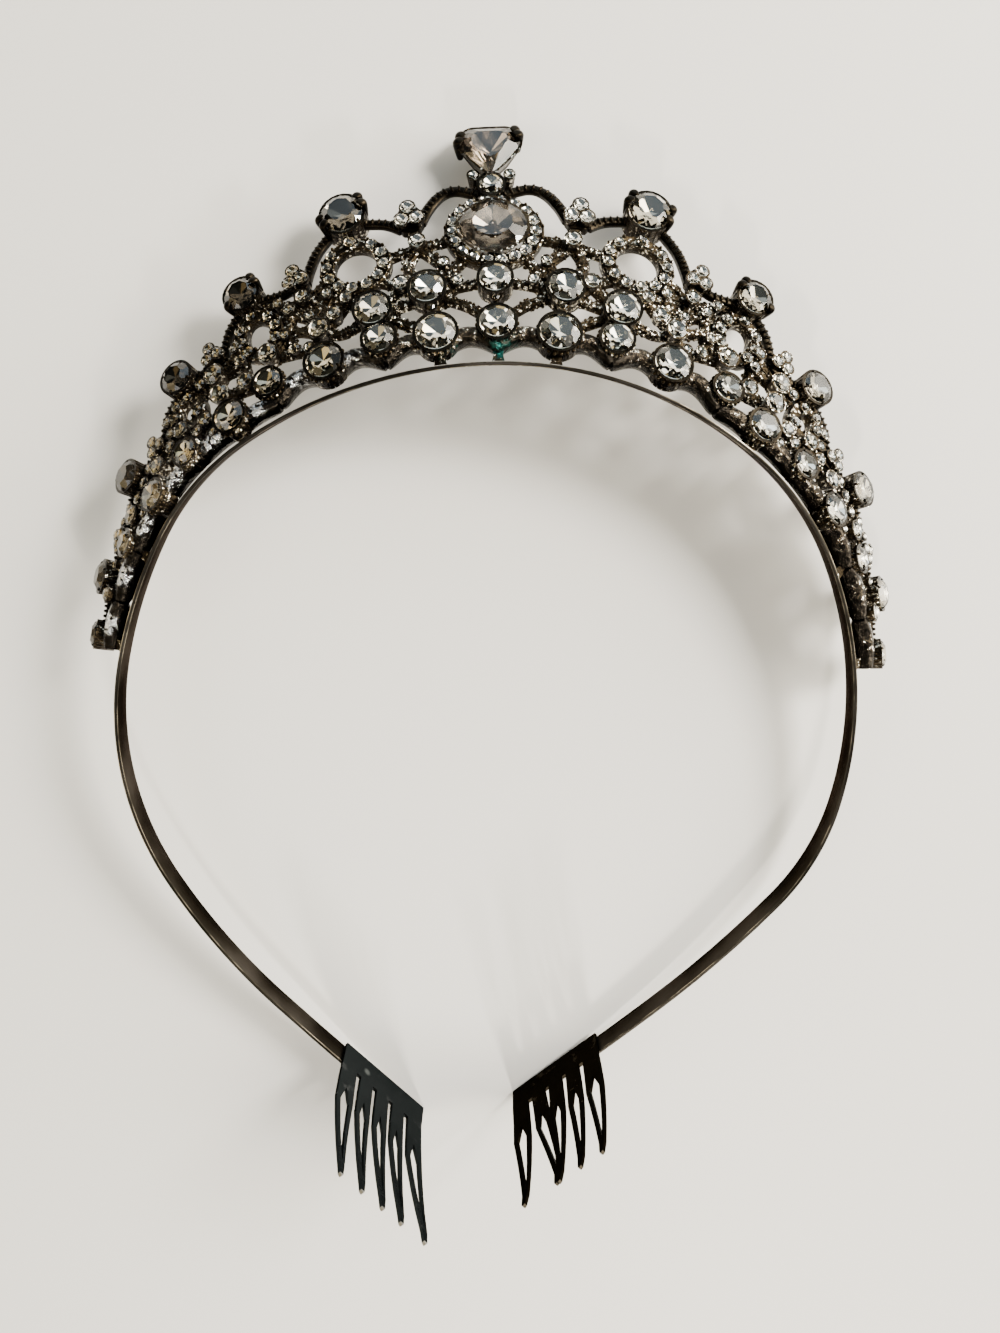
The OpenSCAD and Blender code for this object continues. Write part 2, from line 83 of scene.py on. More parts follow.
def close_up(gap=0.0):
    """In edit mode, merges points that are within a gap and turns the faces outward."""
    bpy.ops.mesh.select_all(action="SELECT")
    if gap:
        bpy.ops.mesh.remove_doubles(threshold=gap)
    bpy.ops.mesh.normals_make_consistent(inside=False)


def done(name=None):
    """Leaves edit mode and names the piece."""
    bpy.ops.object.mode_set(mode="OBJECT")
    obj = bpy.context.view_layer.objects.active
    if name:
        obj.name = obj.data.name = name
    obj.select_set(False)
    return obj


def smooth(obj, degrees):
    """Smooth shading, but not over edges sharper than this."""
    only(obj)
    bpy.ops.object.shade_smooth_by_angle(angle=math.radians(degrees))


def paint(obj, *materials):
    obj.data.materials.clear()
    for material in materials:
        obj.data.materials.append(material)


class Wire:
    """A shader socket that can be used in sums: each sum adds its Math nodes."""

    def __init__(self, socket):
        self.socket, self.tree = socket, socket.id_data

    def node(self, kind, settings, values, out=0):
        """Adds any node: its settings, then the values or wires of its sockets."""
        made = self.tree.nodes.new(kind)
        for name, value in settings.items():
            setattr(made, name, value)
        for name, value in values.items():
            target = made.inputs[name]
            if isinstance(value, Wire):
                self.tree.links.new(value.socket, target)
            else:
                target.default_value = (*value, 1) if target.type == "RGBA" else value
        return Wire(made.outputs[out])

    def maths(self, operation, a, b):
        return self.node("ShaderNodeMath", {"operation": operation}, {0: a, 1: b})

    def __add__(self, other):
        return self.maths("ADD", self, other)

    def __sub__(self, other):
        return self.maths("SUBTRACT", self, other)

    def __rsub__(self, other):
        return self.maths("SUBTRACT", other, self)

    def __mul__(self, other):
        return self.maths("MULTIPLY", self, other)

    __radd__, __rmul__ = __add__, __mul__

    def between(self, low, high):
        """0 at low, 1 at high, smooth between them; low may be the greater of the two."""
        return self.node("ShaderNodeMapRange", {"interpolation_type": "SMOOTHSTEP"},
                         {"Value": self, "From Min": low, "From Max": high})

    def blend(self, a, b):
        """Colour a where this is 0 and colour b where it is 1."""
        return self.node("ShaderNodeMix", {"data_type": "RGBA"}, {0: self, 6: a, 7: b}, 2)

    def lumps(self, scale, detail=2.0, rough=0.5):
        """Noise on these coordinates, lumps about 1/scale of a metre across."""
        return self.node("ShaderNodeTexNoise", {},
                         {"Vector": self, "Scale": scale, "Detail": detail, "Roughness": rough})

    def along(self, direction):
        """How far these coordinates reach in a direction."""
        return self.node("ShaderNodeVectorMath", {"operation": "DOT_PRODUCT"},
                         {0: self, 1: direction}, 1)

    def sideways(self, start, end):
        """0 at x = start and 1 at x = end; x points to the right, in metres from the middle."""
        return self.along((1, 0, 0)).between(start, end)

    def near(self, point, radius):
        """1 at a place on the jewel, given in metres, down to 0 at a radius from it."""
        away = self.node("ShaderNodeVectorMath", {"operation": "DISTANCE"},
                         {0: self, 1: point}, 1)
        return 1 - away.between(radius * 0.25, radius)

    def relief(self, strength, distance):
        return self.node("ShaderNodeBump", {},
                         {"Height": self, "Strength": strength, "Distance": distance})


def finish(name, **constants):
    """A new material: it, its shader's inputs and its Object coordinates."""
    material = bpy.data.materials.new(name)
    material.use_nodes = True
    shader = material.node_tree.nodes["Principled BSDF"]
    for key, value in constants.items():
        target = shader.inputs[key.replace("_", " ")]
        target.default_value = (*value, 1) if target.type == "RGBA" else value
    coords = material.node_tree.nodes.new("ShaderNodeTexCoord")
    return material, shader.inputs, Wire(coords.outputs["Object"])


def feed(inputs, **wires):
    for key, wire in wires.items():
        wire.tree.links.new(wire.socket, inputs[key.replace("_", " ")])


def fit(obj, slot, *nodes):
    """A piece rides on the one body and stands for CAD nodes, which are hidden; the slot is not
    used.
    """
    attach(obj, "root")
    if nodes:
        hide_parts(*nodes)


blackened_steel, inputs, at = finish("blackened_steel", Metallic=1.0,
                                     Specular_Tint=(0.35, 0.32, 0.3))
bloom, scuffs = at.lumps(60, 3).between(0.35, 0.7), at.lumps(1400, 2)
feed(inputs, Base_Color=bloom.blend((0.016, 0.014, 0.011), (0.045, 0.04, 0.034)),
     Roughness=0.34 + 0.16 * bloom + 0.12 * scuffs, Normal=scuffs.relief(0.15, 0.0001))
# Rubbed edges: partly wear, and partly a painted highlight in the bright patches along the edge
# line.
rubbed_highlit_steel, inputs, at = finish("rubbed_highlit_steel", Metallic=1.0)
edge_wear_and_highlight = at.lumps(110, 3).between(0.44, 0.68)
feed(inputs, Base_Color=edge_wear_and_highlight.blend((0.03, 0.026, 0.018), (0.38, 0.33, 0.25)),
     Roughness=0.3 - 0.12 * edge_wear_and_highlight + 0.1 * at.lumps(900))

x, y, turn = HOOP_START
bpy.ops.mesh.primitive_plane_add(size=1)
bpy.ops.object.mode_set(mode="EDIT")
bpy.ops.transform.resize(value=(STRIP_WIDE, STRIP_THICK, 1))
bpy.ops.mesh.bevel(offset=STRIP_CORNER, segments=2, affect="VERTICES")
strip = done("headband_strip")
inset = STRIP_THICK / 2
strip.data.transform(Matrix((
    (0, -math.sin(turn), -math.cos(turn), x + math.sin(turn) * inset),
    (0, math.cos(turn), -math.sin(turn), y - math.cos(turn) * inset),
    (1, 0, 0, 0), (0, 0, 0, 1))))
edit(strip)
bpy.ops.mesh.select_all(action="SELECT")
for side in (1, -1):
    px, py, a = HOOP_START
    if side < 0:
        pick(lambda middle, normal: (middle.xy - Vector((x, y))).length < STRIP_THICK
             and abs(normal.x) > 0.9)
    for length, radius in ARCS[side]:
        b = a - side * length / radius
        centre = (px + radius * math.sin(a), py - radius * math.cos(a), 0)
        bpy.ops.mesh.spin(steps=max(4, math.ceil(math.degrees(length / radius) / 1.5)),
                          angle=a - b, center=centre, axis=(0, 0, 1))
        px, py = centre[0] - radius * math.sin(b), centre[1] + radius * math.cos(b)
        a = b
close_up(0.001)
done()
paint(strip, blackened_steel, rubbed_highlit_steel)
# The bevelled corners take the rubbed steel, which paints a bright highlight line along the edges.
for face in strip.data.polygons:
    face.material_index = int(0.2 < abs(face.normal.z) < 0.97)
strip.data.transform(LYING)
smooth(strip, 40)
fit(strip, "headband", "headband")

# Side combs: two combs stamped from thin steel, rolled to the head and welded inside the strip's
# ends. They are lacquered black and worn thin here and there, and a weld shows on the left one. The
# left one's tooth tips are painted pale as painted highlights; the right one's stay nearly black.
ALONG_TEETH = (LYING.to_3x3() @ Vector((0, 0, 1))).normalized()
WELD, WELD_SIZE, WELD_GREY = (-0.02214, -0.08548, 0.00527), 0.0011, (0.1, 0.11, 0.11)
for name, black, thinned, tip_glint in (
        ("comb_left", (0.022, 0.025, 0.026), (0.05, 0.053, 0.055), (0.42, 0.42, 0.41)),
        ("comb_right", (0.009, 0.0075, 0.005), (0.03, 0.026, 0.02), (0.014, 0.012, 0.009))):
    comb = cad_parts[name]
    ends = max(vertex.co.dot(ALONG_TEETH) for vertex in comb.data.vertices)
    lacquer, inputs, at = finish("black_lacquer_" + name, Metallic=1.0,
                                 Specular_Tint=(0.3, 0.3, 0.3))
    # Painted highlight: a band at the end of each tooth, pale on the left comb.
    tip_glints = at.along(ALONG_TEETH).between(ends - 0.0007, ends - 0.0003)
    thin = at.lumps(260, 4, 0.6).between(0.6, 0.72)
    steel = at.near(WELD, WELD_SIZE).blend(thin.blend(black, thinned), WELD_GREY)
    feed(inputs, Base_Color=tip_glints.blend(steel, tip_glint),
         Roughness=0.34 + 0.14 * at.lumps(500) - 0.1 * tip_glints,
         Normal=at.lumps(2600, 2).relief(0.12, 0.0001))
    paint(comb, lacquer)
    soft_edge = comb.modifiers.new("soft_edge", "BEVEL")
    soft_edge.width, soft_edge.segments, soft_edge.limit_method = 0.00012, 2, "ANGLE"

# Cut stones: moulded glass with a silvered back. A crown has a table, eight or twelve broad facets
# and as many small ones at the girdle; a back's facets meet in a point. The finial and the centre
# stone are grey with worn silvering. The other stones' glass and backs are painted darker towards
# the left as painted shade, and the backs there also take warm painted reflections.
GLASS = {"Transmission_Weight": 1.0, "IOR": 1.55, "Roughness": 0.0}
crystal, inputs, at = finish("clear_glass", **GLASS)
# Painted shade: the clear glass turns darker and warmer towards the left.
feed(inputs, Base_Color=at.sideways(-0.025, -0.06).blend((0.97, 0.98, 0.965), (0.68, 0.65, 0.58)))
left_shaded_peak_glass, inputs, at = finish("peak_glass_shaded_left", **GLASS)
# Painted shade: the peaks' glass is nearly clear on the right and dark towards the left.
feed(inputs, Base_Color=at.sideways(0.01, -0.06).blend((0.94, 0.93, 0.89), (0.3, 0.275, 0.235)))
grey_glass = finish("grey_glass", Base_Color=(0.74, 0.68, 0.61), **GLASS)[0]
silvering, inputs, at = finish("silvered_back", Metallic=1.0)
age = at.lumps(260, 2).between(0.5, 0.75)
bright = age.blend((0.95, 0.92, 0.85), (0.74, 0.66, 0.48))
# Painted shade with painted warm reflections: towards the left the backs are darker, with warm
# patches.
shaded_warm_back = age.blend((0.36, 0.315, 0.24), (0.8, 0.65, 0.38))
feed(inputs, Base_Color=at.sideways(0.005, -0.05).blend(bright, shaded_warm_back), Roughness=0.02 + 0.04 * age)
bare_back, inputs, at = finish("bare_back", Metallic=1.0)
cloud = at.lumps(380, 3).between(0.3, 0.75)
feed(inputs, Base_Color=cloud.blend((0.36, 0.34, 0.315), (0.58, 0.54, 0.485)),
     Roughness=0.1 + 0.08 * cloud)
clouded_back, inputs, at = finish("clouded_back", Metallic=1.0)
cloud = at.lumps(420, 3).between(0.3, 0.7)
feed(inputs, Base_Color=cloud.blend((0.22, 0.192, 0.165), (0.5, 0.44, 0.38)),
     Roughness=0.14 + 0.1 * cloud)
open_back, inputs, at = finish("open_back", Metallic=1.0, Roughness=0.05)
# Painted shade: the peaks' backs go dark towards the left.
feed(inputs, Base_Color=at.sideways(0.03, -0.06).blend((0.62, 0.58, 0.5), (0.12, 0.105, 0.085)))

TABLE, GIRDLE = 0.58, 0.03   # half width and half thickness, for a stone of radius 1
SHALLOW = 0.38   # depth of the round stones' backs, hidden in their cups


def circle(azimuth):
    return 1.0


def pear(azimuth):
    """Outline of the finial: broad and flat above, pointed below."""
    return max(0.46 * abs(math.cos(azimuth)) + 0.28 * math.sin(azimuth) + 0.56,
               0.14 - 0.8 * math.sin(azimuth))


def onion(azimuth):
    """Outline of the centre stone: an oval with a soft point above."""
    return max(math.hypot(1.18 * math.cos(azimuth), 0.97 * math.sin(azimuth)),
               1.06 * math.sin(azimuth) + 0.12)


def glaze(stone, glass, backing):
    """Gives a stone its glass, and a backing to the faces that look back."""
    paint(stone, glass, backing)
    for polygon in stone.data.polygons:
        polygon.material_index = int(polygon.normal.z < -0.1)
    return stone


def cut_stone(name, outline, glass, backing, crown=0.32, back=0.6, kites=8):
    """A stone of radius 1, cut from a blank; the outline says how far out each facet is."""
    bpy.ops.mesh.primitive_cylinder_add(vertices=24, radius=1.7, depth=3)
    edit()
    step = 2 * math.pi / kites

    def facet(azimuth, slope, out, height):
        flat = Vector((math.cos(azimuth), math.sin(azimuth), 0))
        bpy.ops.mesh.select_all(action="SELECT")
        bpy.ops.mesh.bisect(
            plane_co=flat * out + Vector((0, 0, height)), use_fill=True, clear_outer=True,
            plane_no=flat * math.sin(slope) + Vector((0, 0, math.cos(slope))))

    for k in range(4 * kites):
        azimuth = (k + 0.5) * step / 4
        facet(azimuth, math.pi / 2, outline(azimuth), 0)
    for k in range(kites):
        azimuth = k * step
        out = outline(azimuth)
        facet(azimuth, math.atan2(crown - GIRDLE, (1 - TABLE) * out), out, GIRDLE)
        facet(azimuth, math.pi - math.atan2(back - GIRDLE, out), out, -GIRDLE)
    facet(0, 0, 0, crown)
    for k in range(kites):   # the small facets, steeper and set a little in
        azimuth = (k + 0.5) * step
        out = outline(azimuth) * 0.99
        facet(azimuth, 1.22 * math.atan2(crown - GIRDLE, (1 - TABLE) * out), out, GIRDLE)
    close_up(0.002)
    return glaze(done(name), glass, backing)


# The ornament's surface leans back at the middle and stands upright at the ends, a little askew
LEAN_BACK, TURN_SHARE, SIDE_LEAN = math.radians(33), 0.545, math.radians(2)
BACK_GAP, BACK_DEPTH = 0.8, 2   # from the strip to the cups, and the cups' depth behind the surface


def leaning(heading):
    share = math.atan(TURN_SHARE * math.tan(min(abs(heading), math.radians(89))))
    return math.acos(math.cos(share) * math.cos(LEAN_BACK))


def hoop(s):
    """Place and heading of the strip's outer face, s to the right of the middle."""
    side = 1 if s >= 0 else -1
    px, py, a = HOOP_START
    left = abs(s)
    for length, radius in ARCS[side]:
        run = min(left, length)
        b = a - side * run / radius
        px += radius * (math.sin(a) - math.sin(b))
        py += radius * (math.cos(b) - math.cos(a))
        a, left = b, left - run
        if left <= 0:
            break
    return px, py, a


def seat(s, h, d=0.0):
    """Where something sits on the ornament: s along the hoop, h up it, d out of its face."""
    px, py, a = hoop(s)
    lean = leaning(a)
    out, along = Vector((-math.sin(a), math.cos(a), 0)), Vector((math.cos(a), math.sin(a), 0))
    rise = out * math.cos(lean) - Vector((0, 0, math.sin(lean)))
    up = rise * math.cos(SIDE_LEAN) - along * math.sin(SIDE_LEAN)
    across = along * math.cos(SIDE_LEAN) + rise * math.sin(SIDE_LEAN)
    face = out * math.sin(lean) + Vector((0, 0, math.cos(lean)))
    back = BACK_GAP + BACK_DEPTH * math.sin(lean)
    spot = Vector((px, py, 0)) + out * back + up * h + face * d
    return LYING @ Matrix((
        (across.x, up.x, face.x, spot.x), (across.y, up.y, face.y, spot.y),
        (across.z, up.z, face.z, spot.z), (0, 0, 0, 1)))


# Each row: distance along the hoop, height up the ornament, girdle radius
FINIAL, FINIAL_DROP = (0, 38.8, 5.3), (0, 31.9, 2)
CENTRE, CENTRE_DROP, BASE_CENTRE = (0, 23, 5), (0, 12.7, 2.7), (0, 4.3, 3)
PEAKS = ((20, 30.4, 3.75), (36.8, 23.2, 3.1), (50.8, 16.2, 2.95), (66.3, 11.6, 2.85),
         (83.4, 8.6, 2.85), (93, 4.6, 2.3))
BASE_ROW = ((9.8, 3.1, 3.4), (18.9, 4.2, 2.7), (28.4, 3.1, 3.2), (38.2, 4, 2.5), (46.4, 1.9, 2.8),
            (55.8, 2, 2.35), (64.8, 1.5, 2.7), (74.8, 3, 2.2))
MID_ROW = ((10.2, 11.9, 2.9), (18.9, 9.9, 3))
# Heights of the girdles over the ornament's surface; the last peak's stone is set lower
LOW, MID, HIGH, LAST_PEAK_DOWN = 2, 2.4, 2.8, 0.15

round_stone = cut_stone("round_stone", circle, crystal, silvering, back=SHALLOW)
peak_stone = cut_stone("peak_stone", circle, left_shaded_peak_glass, open_back, back=SHALLOW)
pear_stone = cut_stone("pear_stone", pear, grey_glass, clouded_back, crown=0.29, kites=12)
onion_stone = cut_stone("onion_stone", onion, grey_glass, bare_back, crown=0.26, back=0.48,
                        kites=12)

random.seed(7)


def add_object(name, data):
    obj = bpy.data.objects.new(name, data)
    bpy.context.scene.collection.objects.link(obj)
    return obj


def set_stone(node, row, level, pattern, side=1):
    """Copies a pattern stone to its cup, girdle just over the rim; round ones turn at random."""
    mesh = pattern.data.copy()
    mesh.name = node + "_cut"
    turned = random.uniform(0, math.pi) if pattern in (round_stone, peak_stone) else 0
    mesh.transform(seat(side * row[0], row[1], level) @ Matrix.Rotation(turned, 4, "Z")
                   @ Matrix.Scale(row[2], 4))
    fit(add_object(mesh.name, mesh), "stones", node)


set_stone("finial_stone", FINIAL, HIGH, pear_stone)
set_stone("centre_stone", CENTRE, MID, onion_stone)
set_stone("finial_drop", FINIAL_DROP, MID, round_stone)
set_stone("centre_drop", CENTRE_DROP, MID, round_stone)
set_stone("base_centre_stone", BASE_CENTRE, LOW, round_stone)
for hand, side in (("right", 1), ("left", -1)):
    for group, rows, level in (("peak", PEAKS, HIGH), ("base", BASE_ROW, LOW),
                               ("mid", MID_ROW, MID)):
        for n, row in enumerate(rows):
            set_stone(f"{group}_{hand}_{n + 1}", row, level - LAST_PEAK_DOWN * (row is PEAKS[-1]),
                      peak_stone if rows is PEAKS else round_stone, side)

# Small stones: flat rhinestones, 1.3 to 3.6 millimetres across, glued in rings round the centre and
# the loops, in clusters of three between the peaks, and singly between the larger stones.
HALO = (0, 23, 5.75, 6.2, 18)   # distance, height, half width, half height, stones
LOOPS = ((20, 20.2, 4.2, 4.6, 12), (36.9, 14.6, 3, 4.1, 10), (52.4, 9.6, 2.2, 2.9, 7))
RING_STONE, HALO_STONE = 1.0, 1.05
# Distance, height and radius; the clusters have their spread before the radius. The stones BETWEEN
# the rows are in the scene alone.
MID_SMALL = ((27.6, 9.6, 1.8), (36.4, 9.2, 1.75), (45.6, 11.5, 1.75), (46.2, 7.2, 1.75),
             (54.4, 6.5, 1.4), (61, 5, 1.5), (70.2, 4.4, 1.6), (84.6, 2.6, 1.5))
PEAK_SMALL = ((20, 25.1, 1.05), (36.9, 18.7, 0.95), (51, 12, 0.85))
TREFOILS = ((11.3, 27.4, 1.55, 1.25), (28.8, 21.7, 1.4, 1.1), (44.7, 15.9, 1.3, 1),
            (59.6, 9.4, 1.25, 0.95), (75.4, 7.4, 1.2, 0.9))
TINY, UNDER = (2.3, 34.2, 0.85), ((10.7, 21.7, 1.35), (28.6, 17.2, 1.2))
BETWEEN = ((5.6, 13.2, 0.85), (14, 14.2, 1.3), (10, 8.6, 0.8), (7.3, 17.2, 0.8),
           (22.4, 14.2, 1.05), (24.8, 11.7, 1.25), (25, 16.4, 0.85), (28.3, 13.2, 0.8),
           (30, 7.2, 0.75), (32.3, 8, 1), (31.2, 16.2, 0.85), (32.4, 18.5, 0.8), (33, 11.6, 0.75),
           (41.5, 7, 1.4), (41, 11.4, 1.05), (41, 14.6, 0.85), (50.2, 5, 1.2), (52.4, 4, 0.85),
           (50.2, 1.6, 0.7), (48.4, 12.2, 0.9), (56.4, 8.6, 0.8), (57.6, 6.4, 0.9),
           (55.8, 11.4, 0.8), (62.7, 7.7, 0.9), (65, 7, 0.95), (67.7, 6.6, 0.8), (70.2, 8.2, 0.8),
           (68.6, 1.8, 0.7), (73, 9, 0.65), (77.8, 8, 0.7), (80, 5.8, 0.8))
# Heights of the beds that the stones lie on, and the clearance under each stone
BED, CLUSTER_BED, LIFT = 1.2, 1.7, 0.12


def on_ring(row, side, turn):
    return side * row[0] + row[2] * math.sin(turn), row[1] + row[3] * math.cos(turn)


def ring_places(row, side):
    """Places of a ring's stones, without those whose room a larger stone takes."""
    for k in range(row[4]):
        s, h = on_ring(row, side, (k + 0.5) * 2 * math.pi / row[4])
        gaps = [math.hypot((s - side * q[0]) * 1.2, h - q[1]) - q[2]
                for q in PEAK_SMALL + MID_SMALL]
        if min(gaps) > RING_STONE + 0.15:
            yield s, h


def struck(pattern, places, name):
    """One piece out of copies of a pattern, each at its own matrix."""
    source = pattern.data
    points = [v.co.copy() for v in source.vertices]
    faces = [tuple(p.vertices) for p in source.polygons]
    count = len(points)
    mesh = bpy.data.meshes.new(name)
    mesh.from_pydata([m @ p for m in places for p in points], [],
                     [tuple(v + count * k for v in f) for k in range(len(places)) for f in faces])
    for material in source.materials:
        mesh.materials.append(material)
    for key in ("material_index", "use_smooth"):
        mesh.polygons.foreach_set(key, [getattr(p, key) for p in source.polygons] * len(places))
    return add_object(name, mesh)


def pull(move, size, **options):
    """In edit mode, extrudes what is picked and scales its new end."""
    bpy.ops.mesh.extrude_region_move(TRANSFORM_OT_translate={"value": move})
    bpy.ops.transform.resize(value=size, **options)


def cut_chip():
    """A small stone of radius 1: flat table, eight crown facets, a shallow silvered back."""
    bpy.ops.mesh.primitive_cylinder_add(vertices=8, radius=1, depth=0.06, location=(0, 0, 0.3))
    edit()
    for up, size, away in ((1, 0.58, 0.27), (-1, 0.12, -0.26)):
        pick(lambda middle, normal: normal.z * up > 0.9)
        pull((0, 0, away), (size, size, 1))
    chip = done("chip_pattern")
    chip.data.transform(chip.matrix_world)
    chip.matrix_world = Matrix.Identity(4)
    return glaze(chip, crystal, silvering)


chip_pattern = cut_chip()
# Distance, height, radius, bed; in the clusters also how far from the middle and which way
halo = [(s, h, HALO_STONE, BED, 0, 0) for s, h in ring_places(HALO, 1)]
chip_places = {"halo_stones": halo, "pave_right": [], "pave_left": [],
               "trefoils_right": [], "trefoils_left": []}
for hand, side in (("left", -1), ("right", 1)):
    pave, trefoils = chip_places["pave_" + hand], chip_places["trefoils_" + hand]
    halo.append((side * TINY[0], TINY[1], TINY[2], CLUSTER_BED, 0, 0))
    for row in LOOPS:
        pave += [(s, h, RING_STONE, BED, 0, 0) for s, h in ring_places(row, side)]
    pave += [(side * s, h, r, CLUSTER_BED, 0, 0) for s, h, r in MID_SMALL]
    pave += [(side * s, h, r, BED, 0, 0) for s, h, r in PEAK_SMALL]
    for s, h, spread, r in TREFOILS:
        trefoils += [(side * s, h, r, CLUSTER_BED, spread, -k * 120) for k in range(3)]
    trefoils += [(side * s, h, r, CLUSTER_BED, 0, 0) for s, h, r in UNDER]
between = [(side * s, h, r, BED, 0, 0) for s, h, r in BETWEEN for side in (1, -1)]
chip_places["between_rows"] = between + [(0, 9.6, 0.8, BED, 0, 0)]


def chip_matrix(place):
    s, h, r, bed, spread, turned = place
    return (seat(s, h, bed + LIFT) @ Matrix.Rotation(math.radians(turned), 4, "Z")
            @ Matrix.Translation((0, spread, 0)))


for name, places in chip_places.items():
    chips = struck(chip_pattern, [chip_matrix(p) @ Matrix.Rotation(random.uniform(0, 0.8), 4, "Z")
                                  @ Matrix.Scale(p[2], 4) for p in places], name + "_cut")
    fit(chips, "stones", *([name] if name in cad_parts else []))

# Cups of the large stones: cast with the openwork in a white metal that has gone dark and brown,
# fluted outside, hollow inside, with a thin rim and four small grains turned over each girdle.
VERDIGRIS = (0.01, 0.07, 0.06)
VERDIGRIS_SPOTS = ((1, 0, 4.2), (-8.5, 0.5, 3), (-18.9, 2, 2.4), (-46.4, 0.5, 2.4))


def verdigris(at):
    """Where copper in the metal has turned green: 0 to 1."""
    green = 0
    for s, h, size in VERDIGRIS_SPOTS:
        green = at.near(seat(s, h, -0.5).to_translation(), size * 0.001) + green
    return (green * at.lumps(900, 4, 0.65).between(0.38, 0.6)).between(0.05, 0.8)


pewter, inputs, at = finish("tarnished_casting", Metallic=1.0)
brown = at.lumps(150, 3).between(0.35, 0.7).blend((0.013, 0.0095, 0.0052), (0.038, 0.028, 0.016))
wear_and_highlight = (at.lumps(1500, 3, 0.6) + 0.3 * at.lumps(90)).between(0.72, 0.79)
feed(inputs, Base_Color=verdigris(at).blend(wear_and_highlight.blend(brown, (0.95, 0.88, 0.74)), VERDIGRIS),
     Roughness=0.3 - 0.14 * wear_and_highlight, Normal=at.lumps(2300, 3, 0.6).relief(0.8, 0.0003))
dark_pewter, inputs, at = finish("dark_casting", Metallic=1.0)
brown = at.lumps(300, 3).between(0.4, 0.7).blend((0.006, 0.0047, 0.003), (0.017, 0.0133, 0.0085))
feed(inputs, Base_Color=brown, Roughness=0.24 + 0.2 * at.lumps(600),
     Normal=at.lumps(1800, 3, 0.6).relief(0.4, 0.0002))

WALL = 0.55   # thickness of a cup's wall at the rim
SLIM, DEEP = (-1.2, 0.62), (-1.7, 0.85)   # level of a cup's bottom, and how wide it is there


def turn_cup(r, level, bottom, foot):
    """A fluted cup for a stone of radius r, its rim at the girdle's level."""
    high = level - bottom
    bpy.ops.mesh.primitive_cylinder_add(vertices=24, radius=r + WALL, depth=high,
                                        location=(0, 0, bottom + high / 2))
    bpy.ops.object.transform_apply(location=True)
    edit()
    pick(lambda middle, normal: abs(normal.z) < 0.5)
    bpy.ops.mesh.inset(thickness=0.1, depth=-0.13, use_individual=True)
    pick(lambda middle, normal: normal.z < -0.9)
    bpy.ops.transform.resize(value=(foot, foot, 1))
    pick(lambda middle, normal: normal.z > 0.9 and middle.xy.length < 0.1)
    bpy.ops.mesh.inset(thickness=WALL - 0.06)
    pull((0, 0, -0.6 * r - 0.12), (0.06, 0.06, 1))
    return done("cup")


def soften(claw):
    """Rounds off a claw that was drawn with flat sides."""
    rounding = claw.modifiers.new("rounding", "SUBSURF")
    rounding.levels = rounding.render_levels = 1
    only(claw)
    bpy.ops.object.modifier_apply(modifier=rounding.name)
    bpy.ops.object.shade_smooth()
    paint(claw, dark_pewter)
    return claw


def bend_grain():
    """A small claw: a stub that leans in over a girdle, at radius 0 and turned to face -X."""
    bpy.ops.mesh.primitive_cube_add(size=1, location=(0, 0, 0))
    edit()
    bpy.ops.transform.resize(value=(0.5, 0.8, 1))
    pick(lambda middle, normal: normal.z > 0.9)
    pull((-0.25, 0, 0.45), (0.9, 0.8, 1))
    pull((-0.4, 0, 0.1), (0.6, 0.7, 0.6))
    return soften(done("grain"))


grain_pattern = bend_grain()
cup_sizes, cup_parts, grains = {}, [], []
cup_rows = [(FINIAL_DROP, 1, MID, SLIM), (CENTRE_DROP, 1, MID, SLIM), (BASE_CENTRE, 1, LOW, DEEP)]
for side in (1, -1):
    for rows, level, form in ((PEAKS, HIGH, SLIM), (BASE_ROW, LOW, DEEP), (MID_ROW, MID, SLIM)):
        cup_rows += [(row, side, level, form) for row in rows]
for row, side, level, (bottom, foot) in cup_rows:
    level -= LAST_PEAK_DOWN * (row is PEAKS[-1])
    size = (row[2], level, bottom, foot)
    if size not in cup_sizes:
        cup_sizes[size] = turn_cup(*size)
    cup_parts.append((cup_sizes[size], seat(side * row[0], row[1])))
    for k in range(4):
        turned = Matrix.Rotation(math.radians(45 + 90 * k), 4, "Z")
        grains.append(seat(side * row[0], row[1], level - 0.35) @ turned
                      @ Matrix.Translation((row[2] + 0.22, 0, 0)) @ Matrix.Scale(0.75, 4))


def soldered(parts, name):
    """Joins copies of patterns, each at its own matrix, into one piece."""
    grouped = {}
    for pattern, matrix in parts:
        grouped.setdefault(pattern.name, (pattern, []))[1].append(matrix)
    pieces = [struck(pattern, places, name + "_part") for pattern, places in grouped.values()]
    whole = only(*pieces)
    if len(pieces) > 1:
        bpy.ops.object.join()
    whole.name = whole.data.name = name
    return whole


# Painted shade: the top face of each rim takes the darker casting, ringing every stone in dark.
for size, cup in cup_sizes.items():
    paint(cup, pewter, dark_pewter)
    for face in cup.data.polygons:
        face.material_index = int(face.normal.z > 0.9 and face.center.z > size[1] - 0.01)
cups = soldered(cup_parts, "setting_cups")
fit(cups, "casting", "tiara_frame")
claws = struck(grain_pattern, grains, "girdle_grains")
fit(claws, "casting", "tiara_frame")


